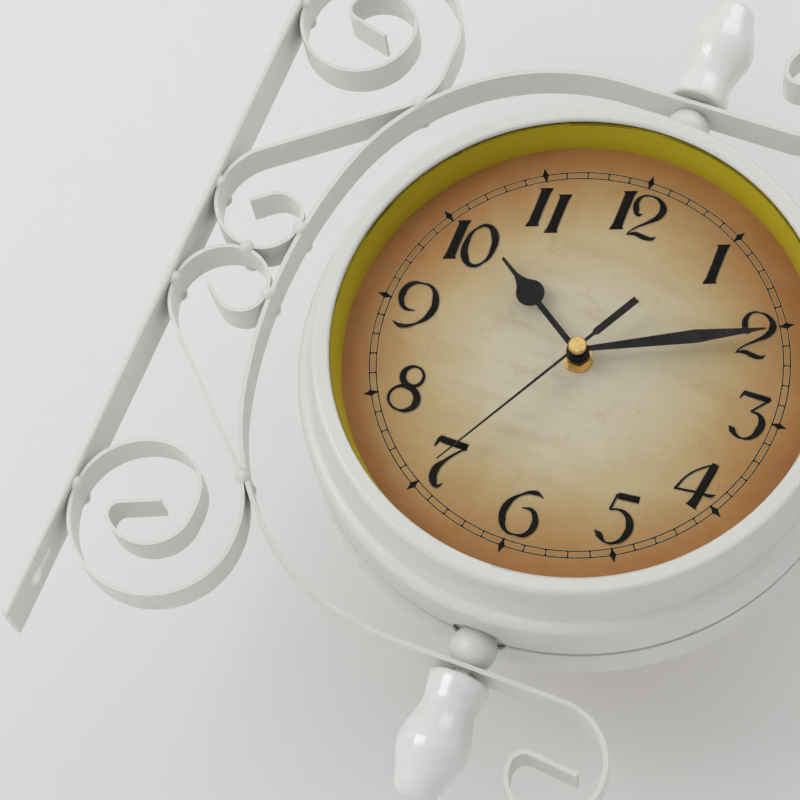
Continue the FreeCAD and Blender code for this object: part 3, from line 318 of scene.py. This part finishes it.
def make_brass():
    finish = Finish("brass", (0.68, 0.46, 0.17), 0.24, Metallic=1.0)
    stain = finish.noise(420, 4, 0.7)
    finish.feed("Base Color", finish.mix(
        finish.level(stain, 0.5, 0.72), (0.72, 0.50, 0.20), (0.42, 0.25, 0.08)))
    rings = finish.node("ShaderNodeTexNoise", {"noise_dimensions": "1D"}, {
        "W": from_middle(finish), "Scale": 4200, "Detail": 2.0})
    finish.feed("Roughness", finish.level(rings, 0.3, 0.7, 0.16, 0.36))
    finish.feed("Normal", finish.bump(rings, 0.00005, 0.5))
    return finish


def make_black_hands():
    finish = Finish("black_hands", (0.008, 0.008, 0.009), 0.4, Specular_IOR_Level=0.2)
    finish.feed("Base Color", finish.mix(
        finish.level(finish.noise(130, 4), 0.45, 0.7), (0.007, 0.007, 0.008), (0.020, 0.019, 0.018)))
    finish.feed("Roughness", finish.level(finish.noise(340, 3), 0.35, 0.65, 0.26, 0.44))
    finish.feed("Normal", finish.bump(finish.noise(1400, 2), 0.00008, 0.4))
    return finish


finishes = {
    "white_paint": make_white_paint(),
    "finial_white": make_finial_white(),
    "steel": make_steel(),
    "clear_glass": make_clear_glass(),
    "black_rubber": make_black_rubber(),
    "olive_liner": make_olive_liner(),
    "printed_dial": make_printed_dial(),
    "black_plastic": make_black_plastic(),
    "battery_wrap": make_battery_wrap(),
    "brass": make_brass(),
    "black_hands": make_black_hands(),
}
black_ink = make_black_ink()
pale_ink = make_pale_ink()

for node in nodes.values():
    for material_slot in node.material_slots:
        material_slot.material = finishes[material_slot.material.name.split(".")[0]].material


# ---------------------------------------------------------------- the dials' print

# Every stroke is a list of (across, up, width) in millimetres from the dial's middle.

def ellipse_stroke(middle, half_width, half_height, widths):
    """A closed stroke with one width for each equal step round from the right, going up."""
    step = 2 * pi / len(widths)
    return [
        (middle[0] + half_width * cos(i * step), middle[1] + half_height * sin(i * step), width)
        for i, width in enumerate(widths)]


def moved_stroke(stroke, across, up):
    return [(x + across, z + up, width) for x, z, width in stroke]


def turned_stroke(stroke, middle, new_middle, scale):
    """The stroke turned half round about its middle, placed at a new one."""
    return [
        (new_middle[0] - scale * (x - middle[0]), new_middle[1] - scale * (z - middle[1]), width)
        for x, z, width in stroke]


ONE = [
    (-0.35, 18.85, 4.7), (-0.20, 18.45, 4.4), (0.0, 17.2, 3.3), (0.05, 9.0, 3.1),
    (0.1, 2.2, 3.3), (0.25, 0.5, 4.4), (0.4, 0.1, 4.7)]
ONE_PLACES = [(-6.5, 60.3), (38.1, 49.8), (-39.9, 49.9), (-31.5, 49.7), (-66.9, 24.3)]
TWO_CURVE = [
    (1.8, 70.7, 0.3), (0.0, 69.8, 1.5), (-1.8, 72.3, 2.2), (-2.4, 75.4, 1.8), (-0.9, 78.6, 1.0),
    (2.3, 79.7, 0.7), (6.4, 78.8, 1.4), (9.0, 75.4, 2.5), (8.4, 71.8, 2.2), (5.0, 67.7, 1.2),
    (0.9, 63.6, 0.7), (-1.2, 60.5, 0.6)]
TWO_FOOT = [
    (-1.6, 59.7, 0.5), (1.8, 61.1, 1.6), (5.9, 60.7, 1.9), (9.1, 61.1, 1.4), (10.3, 62.6, 0.4)]
TWO_SHIFT = (60.0, -35.1)
SIX = [
    (8.5, -61.2, 0.3), (5.0, -60.2, 1.8), (-0.5, -63.0, 0.9), (-4.3, -69.0, 2.4), (-3.9, -75.0, 2.4),
    (-0.5, -79.3, 1.2), (3.0, -79.6, 0.8), (7.3, -78.0, 1.8), (9.1, -73.5, 2.4), (8.3, -70.0, 2.0),
    (6.0, -67.6, 1.5), (1.8, -67.9, 0.4)]
NINE = turned_stroke(SIX, (2.4, -69.6), (-71.7, -0.6), 1.08)

STRAIGHT_STROKES = [moved_stroke(ONE, x, z) for x, z in ONE_PLACES] + [
    [(78.6, 9.3, 2.0), (68.2, 9.1, 2.0), (67.6, 8.6, 1.2), (66.9, 6.2, 0.4)],
    [(78.9, 9.9, 0.9), (73.0, 2.2, 0.9)],
    [(67.7, -23.9, 2.2), (67.3, -26.0, 2.8), (65.1, -41.0, 2.8), (64.4, -43.6, 3.3), (64.2, -44.3, 4.4)],
    [(44.6, -48.8, 2.3), (36.0, -49.9, 2.3)],
    [(35.6, -49.2, 0.9), (34.9, -56.6, 0.9)],
    [(-27.9, -51.6, 2.4), (-39.4, -51.6, 2.6), (-40.2, -52.2, 1.6), (-40.9, -55.4, 0.5)],
]
CURVED_STROKES = [
    TWO_CURVE, TWO_FOOT,
    moved_stroke(TWO_CURVE, *TWO_SHIFT), moved_stroke(TWO_FOOT, *TWO_SHIFT),
    [(73.0, 2.2, 0.8), (76.2, 2.0, 1.3), (78.6, -0.6, 2.3), (78.6, -4.4, 2.6), (76.8, -8.2, 1.6),
     (73.5, -9.9, 0.8), (70.5, -9.3, 1.4), (68.5, -7.6, 2.2), (66.9, -6.4, 0.4)],
    [(67.2, -24.4, 0.9), (62.6, -27.8, 0.8), (58.6, -32.4, 0.8), (56.0, -38.8, 1.0)],
    [(55.4, -39.0, 0.9), (60.0, -38.4, 1.0), (66.0, -37.6, 1.0), (70.2, -37.4, 1.4), (71.8, -36.4, 0.5)],
    [(34.9, -56.4, 0.8), (38.0, -55.4, 0.9), (41.6, -56.2, 1.7), (44.3, -59.4, 2.6), (44.6, -64.2, 2.4),
     (41.5, -69.0, 1.2), (38.0, -70.0, 0.8), (34.4, -67.8, 2.2), (32.0, -66.6, 0.3)],
    SIX, NINE,
    [(-28.2, -51.8, 0.9), (-31.4, -55.4, 0.9), (-34.4, -59.6, 1.2), (-36.8, -64.6, 2.7),
     (-36.0, -69.2, 2.6), (-33.6, -71.2, 1.4), (-31.8, -69.2, 0.3)],
]
CLOSED_STROKES = [
    ellipse_stroke((-56.85, 34.3), 5.75, 9.7, [2.0, 2.7, 1.6, 0.9, 2.0, 2.7, 1.6, 0.9]),
    ellipse_stroke((-60.5, -30.1), 4.3, 4.4, [1.3, 1.0, 0.9, 1.5, 2.2, 2.3, 1.9, 1.4]),
    ellipse_stroke((-61.0, -40.5), 5.9, 5.4, [2.6, 2.4, 2.0, 1.1, 1.1, 1.0, 0.9, 1.8]),
]


def weight(width):
    """How wide a stroke is printed: the thick ones are a fifth heavier, the hairlines hardly."""
    return width * (1.04 + 0.17 * min(width / 2.5, 1.0))


def draw_strokes(name, widen, height):
    """The numerals' strokes as a thin solid print lying on the dial's plane, facing up."""
    curve = bpy.data.curves.new(name, "CURVE")
    curve.dimensions = "3D"
    curve.bevel_depth = MM / 2
    curve.bevel_resolution = 1
    curve.use_fill_caps = True
    for stroke in STRAIGHT_STROKES:
        spline = curve.splines.new("POLY")
        spline.points.add(len(stroke) - 1)
        for point, (x, z, width) in zip(spline.points, stroke):
            point.co = (x * MM, z * MM, 0, 1)
            point.radius = weight(width) + widen
    for stroke in CURVED_STROKES + CLOSED_STROKES:
        spline = curve.splines.new("BEZIER")
        spline.use_cyclic_u = stroke in CLOSED_STROKES
        spline.resolution_u = 7
        spline.bezier_points.add(len(stroke) - 1)
        for point, (x, z, width) in zip(spline.bezier_points, stroke):
            point.co = (x * MM, z * MM, 0)
            point.handle_left_type = point.handle_right_type = "AUTO"
            point.radius = weight(width) + widen
    drawn = bpy.data.objects.new(name, curve)
    bpy.context.scene.collection.objects.link(drawn)
    bpy.ops.object.select_all(action="DESELECT")
    drawn.select_set(True)
    bpy.context.view_layer.objects.active = drawn
    bpy.ops.object.convert(target="MESH")
    printed = bpy.context.object
    bpy.ops.object.mode_set(mode="EDIT")
    bpy.ops.mesh.select_all(action="SELECT")
    bpy.ops.mesh.remove_doubles(threshold=1e-7)
    bpy.ops.mesh.normals_make_consistent(inside=False)
    bpy.ops.transform.resize(value=(1, 1, FLATTENING), center_override=(0, 0, 0))
    bpy.ops.transform.translate(value=(0, 0, height * MM))
    bpy.ops.object.mode_set(mode="OBJECT")
    return printed


def start_edit():
    """Starts shaping a new primitive, with all of it selected."""
    bpy.ops.object.mode_set(mode="EDIT")
    bpy.ops.mesh.select_all(action="SELECT")


def thicken_line(height):
    """Gives a flat line its thickness and height, and leaves edit mode."""
    bpy.ops.mesh.select_all(action="SELECT")
    bpy.ops.mesh.extrude_region_move(TRANSFORM_OT_translate={"value": (0, 0, LINE_THICKNESS * MM)})
    bpy.ops.mesh.select_all(action="SELECT")
    bpy.ops.mesh.normals_make_consistent(inside=False)
    bpy.ops.transform.translate(value=(0, 0, height * MM))
    bpy.ops.object.mode_set(mode="OBJECT")
    return bpy.context.object


def draw_circle_line(radius, width, height):
    """A thin printed ring."""
    inner = radius - width / 2
    outer = radius + width / 2
    bpy.ops.object.select_all(action="DESELECT")
    bpy.ops.mesh.primitive_circle_add(vertices=256, radius=inner * MM)
    start_edit()
    bpy.ops.mesh.extrude_region_move()
    bpy.ops.transform.resize(value=(outer / inner, outer / inner, 1), center_override=(0, 0, 0))
    return thicken_line(height)


def select_near_middle(piece, reach):
    """Selects the points of a piece in edit mode that are within reach of its middle line."""
    bpy.ops.object.mode_set(mode="OBJECT")
    middle = sum((v.co for v in piece.data.vertices), Vector()) / len(piece.data.vertices)
    for edge in piece.data.edges:
        edge.select = False
    for face in piece.data.polygons:
        face.select = False
    for vertex in piece.data.vertices:
        vertex.select = abs(vertex.co.y - middle.y) < reach
    bpy.ops.object.mode_set(mode="EDIT")


def draw_divider(width, length, height):
    """One short line across the minute track, wider where it meets the circles."""
    bpy.ops.object.select_all(action="DESELECT")
    bpy.ops.mesh.primitive_plane_add(size=MM, location=(0, TRACK_MIDDLE * MM, 0))
    bpy.ops.object.transform_apply(location=True, rotation=True, scale=True)
    piece = bpy.context.object
    start_edit()
    middle = (0, TRACK_MIDDLE * MM, 0)
    bpy.ops.transform.resize(value=(width * DIVIDER_FLARE, length, 1), center_override=middle)
    bpy.ops.mesh.subdivide(number_cuts=3)
    select_near_middle(piece, length * MM * 0.3)
    bpy.ops.transform.resize(value=(1 / DIVIDER_FLARE, 1, 1), center_override=middle)
    return thicken_line(height)


def draw_hour_mark(half_width, inner, outer, height):
    """One four-pointed mark on the track, with slightly hollow sides, its long points in and out."""
    middle = (inner + outer) / 2
    bpy.ops.object.select_all(action="DESELECT")
    bpy.ops.mesh.primitive_circle_add(
        vertices=4, radius=MM, fill_type="NGON", location=(0, middle * MM, 0))
    bpy.ops.object.transform_apply(location=True, rotation=True, scale=True)
    piece = bpy.context.object
    start_edit()
    centre = (0, middle * MM, 0)
    bpy.ops.transform.resize(value=(half_width, (outer - inner) / 2, 1), center_override=centre)
    bpy.ops.mesh.subdivide(number_cuts=1)
    bpy.ops.object.mode_set(mode="OBJECT")
    for part in (*piece.data.edges, *piece.data.polygons):
        part.select = False
    for vertex in piece.data.vertices:
        across = abs(vertex.co.x)
        along = abs(vertex.co.y - centre[1])
        vertex.select = across > 0.2 * half_width * MM and along > 0.2 * half_width * MM
    bpy.ops.object.mode_set(mode="EDIT")
    bpy.ops.transform.resize(value=(0.93, 0.93, 1), center_override=centre)
    return thicken_line(height)


def copied_round(piece, count):
    """Copies of a piece turned about the dial's middle, each with its own mesh."""
    copies = []
    for i in range(count):
        copy = piece.copy()
        copy.data = piece.data.copy()
        copy.data.transform(Matrix.Rotation(-2 * pi * i / count, 4, "Z"))
        bpy.context.scene.collection.objects.link(copy)
        copies.append(copy)
    bpy.data.objects.remove(piece)
    return copies


def joined(name, pieces, finish):
    """The pieces as one mesh of one finish."""
    bpy.ops.object.select_all(action="DESELECT")
    for piece in pieces:
        piece.select_set(True)
    bpy.context.view_layer.objects.active = pieces[0]
    if len(pieces) > 1:
        bpy.ops.object.join()
    whole = bpy.context.object
    whole.name = name
    whole.data.materials.clear()
    whole.data.materials.append(finish.material)
    return whole


TRACK_INNER = 82.7
TRACK_OUTER = 85.5
TRACK_MIDDLE = (TRACK_INNER + TRACK_OUTER) / 2
TRACK_WIDTH = TRACK_OUTER - TRACK_INNER
MINUTES = 60
HOURS = 12
LINE_WIDTH = 0.44
TRACK_OUTLINE = 0.2
DIVIDER_WIDTH = 0.5
DIVIDER_FLARE = 1.5
HOUR_MARK = dict(half_width=1.4, inner=82.0, outer=89.0)
MARK_OUTLINE = 0.25


def make_print():
    """The black print and the pale outline under it, lying on the dial's plane."""
    black = [
        draw_strokes("numerals", 0.0, INK_HEIGHT),
        draw_circle_line(TRACK_INNER, LINE_WIDTH, INK_HEIGHT),
        draw_circle_line(TRACK_OUTER, LINE_WIDTH, INK_HEIGHT),
        *copied_round(draw_divider(DIVIDER_WIDTH, TRACK_WIDTH, INK_HEIGHT), MINUTES),
        *copied_round(draw_hour_mark(height=INK_HEIGHT + LINE_THICKNESS, **HOUR_MARK), HOURS)]
    wide = 2 * OUTLINE_WIDTH
    track_wide = 2 * TRACK_OUTLINE
    mark = dict(
        half_width=HOUR_MARK["half_width"] + MARK_OUTLINE,
        inner=HOUR_MARK["inner"] - MARK_OUTLINE, outer=HOUR_MARK["outer"] + MARK_OUTLINE)
    pale = [
        draw_strokes("numeral_outlines", wide, OUTLINE_HEIGHT),
        draw_circle_line(TRACK_INNER, LINE_WIDTH + track_wide, OUTLINE_HEIGHT),
        draw_circle_line(TRACK_OUTER, LINE_WIDTH + track_wide, OUTLINE_HEIGHT),
        *copied_round(draw_divider(DIVIDER_WIDTH + track_wide, TRACK_WIDTH, OUTLINE_HEIGHT), MINUTES),
        *copied_round(draw_hour_mark(height=OUTLINE_HEIGHT, **mark), HOURS)]
    return (
        joined("black_print", black, black_ink),
        joined("pale_print", pale, pale_ink))


def lay_on_dial(piece, side, turn):
    """A copy of the print on one of the two dials, turned about Z to face that side."""
    copy = piece.copy()
    copy.name = f"{piece.name}_{side}"
    copy.data = piece.data.copy()
    stand = Matrix.Translation((0, -DIAL_FACE, 0)) @ Matrix.Rotation(pi / 2, 4, "X")
    copy.data.transform(Matrix.Translation(CASE_MIDDLE) @ Matrix.Rotation(turn, 4, "Z") @ stand)
    bpy.context.scene.collection.objects.link(copy)
    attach(copy, f"{side}_door")
    return copy


for printed in make_print():
    lay_on_dial(printed, "front", 0.0)
    lay_on_dial(printed, "rear", pi)
    bpy.data.objects.remove(printed)


# ---------------------------------------------------------------- floor, backdrop and light

FLOOR_HEIGHT = -0.62
FLOOR_SIZE = 12
BACKDROP_Y = 0.16
BACKDROP_SIZE = 6
STUDIO_WHITE = (0.90, 0.90, 0.90)
SURROUND_LIGHT = 0.46

# Each softbox has its place, the length of its side in metres and its power in watts.
SOFTBOXES = {
    "left_softbox": ((-1.0, -1.5, -0.45), 1.2, 16),
    "top_softbox": ((0.5, -0.9, 1.5), 1.2, 7.0),
    "rear_softbox": ((0.2, 2.2, 0.7), 1.4, 16),
    "low_softbox": ((0.7, -1.2, -1.1), 1.2, 9),
}


def make_studio_surface(name, colour, one_sided):
    finish = Finish(name, colour, 0.9, Specular_IOR_Level=0.1)
    finish.feed("Base Color", finish.mix(
        finish.level(finish.noise(2.5, 2), 0.3, 0.7), colour, tuple(c * 0.985 for c in colour)))
    if one_sided:
        geometry = finish.node("ShaderNodeNewGeometry", {}, {}, "Backfacing")
        clear = finish.node("ShaderNodeBsdfTransparent", {}, {})
        shown = Amount(finish, finish.shader.outputs[0])
        both = finish.node("ShaderNodeMixShader", {}, {0: geometry, 1: shown, 2: clear})
        output = finish.tree.nodes["Material Output"]
        finish.tree.links.new(both.socket, output.inputs["Surface"])
    return finish


def make_stage():
    bpy.ops.object.select_all(action="DESELECT")
    bpy.ops.mesh.primitive_plane_add(size=FLOOR_SIZE, location=(0, 0, FLOOR_HEIGHT))
    bpy.ops.object.transform_apply(location=True)
    floor = bpy.context.object
    floor.name = "floor"
    floor.data.materials.append(make_studio_surface("floor_white", STUDIO_WHITE, False).material)
    bpy.ops.object.select_all(action="DESELECT")
    bpy.ops.mesh.primitive_plane_add(
        size=BACKDROP_SIZE, location=(0, BACKDROP_Y, FLOOR_HEIGHT + BACKDROP_SIZE / 2),
        rotation=(pi / 2, 0, 0))
    bpy.ops.object.transform_apply(location=True, rotation=True)
    backdrop = bpy.context.object
    backdrop.name = "backdrop"
    backdrop.data.materials.append(make_studio_surface("backdrop_white", STUDIO_WHITE, True).material)


def add_softbox(name, place, size, power):
    bpy.ops.object.select_all(action="DESELECT")
    bpy.ops.object.light_add(type="AREA")
    lamp = bpy.context.object
    lamp.name = name
    lamp.data.shape = "SQUARE"
    lamp.data.size = size
    lamp.data.energy = power
    aim(lamp, Vector(place), CASE_MIDDLE)


def make_world():
    """White wherever it is seen directly or mirrored, and dimmer as a light on the object."""
    world = bpy.data.worlds.new("studio")
    world.use_nodes = True
    bpy.context.scene.world = world
    tree = world.node_tree
    surround = tree.nodes["Background"]
    surround.inputs["Color"].default_value = (1, 1, 1, 1)
    rays = tree.nodes.new("ShaderNodeLightPath")
    seen = tree.nodes.new("ShaderNodeMath")
    seen.operation = "MAXIMUM"
    tree.links.new(rays.outputs["Is Camera Ray"], seen.inputs[0])
    tree.links.new(rays.outputs["Is Glossy Ray"], seen.inputs[1])
    also = tree.nodes.new("ShaderNodeMath")
    also.operation = "MAXIMUM"
    tree.links.new(seen.outputs[0], also.inputs[0])
    tree.links.new(rays.outputs["Is Transmission Ray"], also.inputs[1])
    strength = tree.nodes.new("ShaderNodeMapRange")
    strength.inputs["To Min"].default_value = SURROUND_LIGHT
    strength.inputs["To Max"].default_value = 1.0
    tree.links.new(also.outputs[0], strength.inputs["Value"])
    tree.links.new(strength.outputs[0], surround.inputs["Strength"])


make_stage()
make_world()
for lamp_name, (lamp_place, lamp_size, lamp_power) in SOFTBOXES.items():
    add_softbox(lamp_name, lamp_place, lamp_size, lamp_power)
bpy.context.scene.view_settings.view_transform = "Standard"
